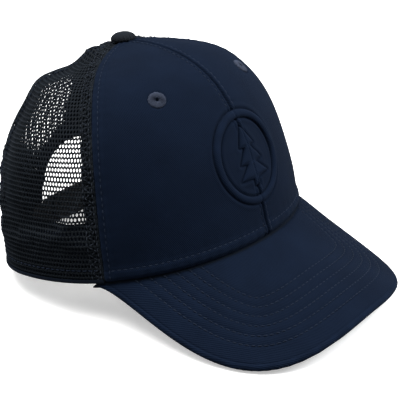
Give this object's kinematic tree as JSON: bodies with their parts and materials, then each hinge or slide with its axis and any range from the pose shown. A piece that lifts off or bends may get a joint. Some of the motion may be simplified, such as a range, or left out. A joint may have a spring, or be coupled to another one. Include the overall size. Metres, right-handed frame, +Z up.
{
  "type": "trucker mesh cap",
  "caption": "Trucker cap with a twill front, mesh sides and back, a curved stitched bill, a covered top button and a two-part plastic snap strap.",
  "frame": {"origin": "centre of the bounding box in plan, on the table plane under the lowest points of the bill and the rear hem", "axes": "+Z up, -Y towards the bill, +X the wearer's left; the crown leans back 9.7 degrees, as the cap rests on a table"},
  "size_m": [0.1918, 0.2268, 0.1322],
  "materials": {
    "twill": "navy cotton twill, matte",
    "mesh": "near-black knitted polyester mesh with oval holes",
    "stiffener": "off-white open buckram",
    "tape": "dark woven tape",
    "thread": "navy embroidery thread with a slight sheen",
    "sweatband": "dark brushed cotton",
    "board": "plain polyethylene board",
    "strap": "near-black moulded plastic, satin",
    "steel": "plain steel, inside the button"
  },
  "bodies": {
    "crown": {"front_panel_right": "twill", "front_stiffener_right": "stiffener", "side_mesh_panel_right": "mesh", "rear_mesh_panel_right": "mesh", "front_seam_tape_right": "tape", "rear_seam_tape_right": "tape", "mesh_hem_tape_right": "tape", "eyelet_right": "thread", "front_panel_left": "twill", "front_stiffener_left": "stiffener", "side_mesh_panel_left": "mesh", "rear_mesh_panel_left": "mesh", "front_seam_tape_left": "tape", "rear_seam_tape_left": "tape", "mesh_hem_tape_left": "tape", "eyelet_left": "thread", "front_centre_seam_tape": "tape", "rear_centre_seam_tape": "tape", "arch_binding": "tape", "sweatband": "sweatband", "bill_top_cover": "twill", "bill_board": "board", "bill_under_cover": "twill", "button_cover": "twill", "button_core": "steel", "button_washer": "steel", "front_motif_ring": "twill", "front_motif_tree": "twill", "hole_strap_tab": "strap", "peg_strap_tab": "strap"},
    "hole_strap": {"hole_strap": "strap"},
    "peg_strap": {"peg_strap": "strap"}
  },
  "joints": [
    {"name": "hole_strap_swing", "type": "hinge", "parent": "crown", "child": "hole_strap", "pos_m": [-0.0296, 0.10695, 0.0097], "axis": [0, 0.1686, 0.9857], "range_deg": [0, 80]},
    {"name": "peg_strap_swing", "type": "hinge", "parent": "crown", "child": "peg_strap", "pos_m": [0.0296, 0.10547, 0.00995], "axis": [0, 0.1686, 0.9857], "range_deg": [0, 35]}
  ]
}
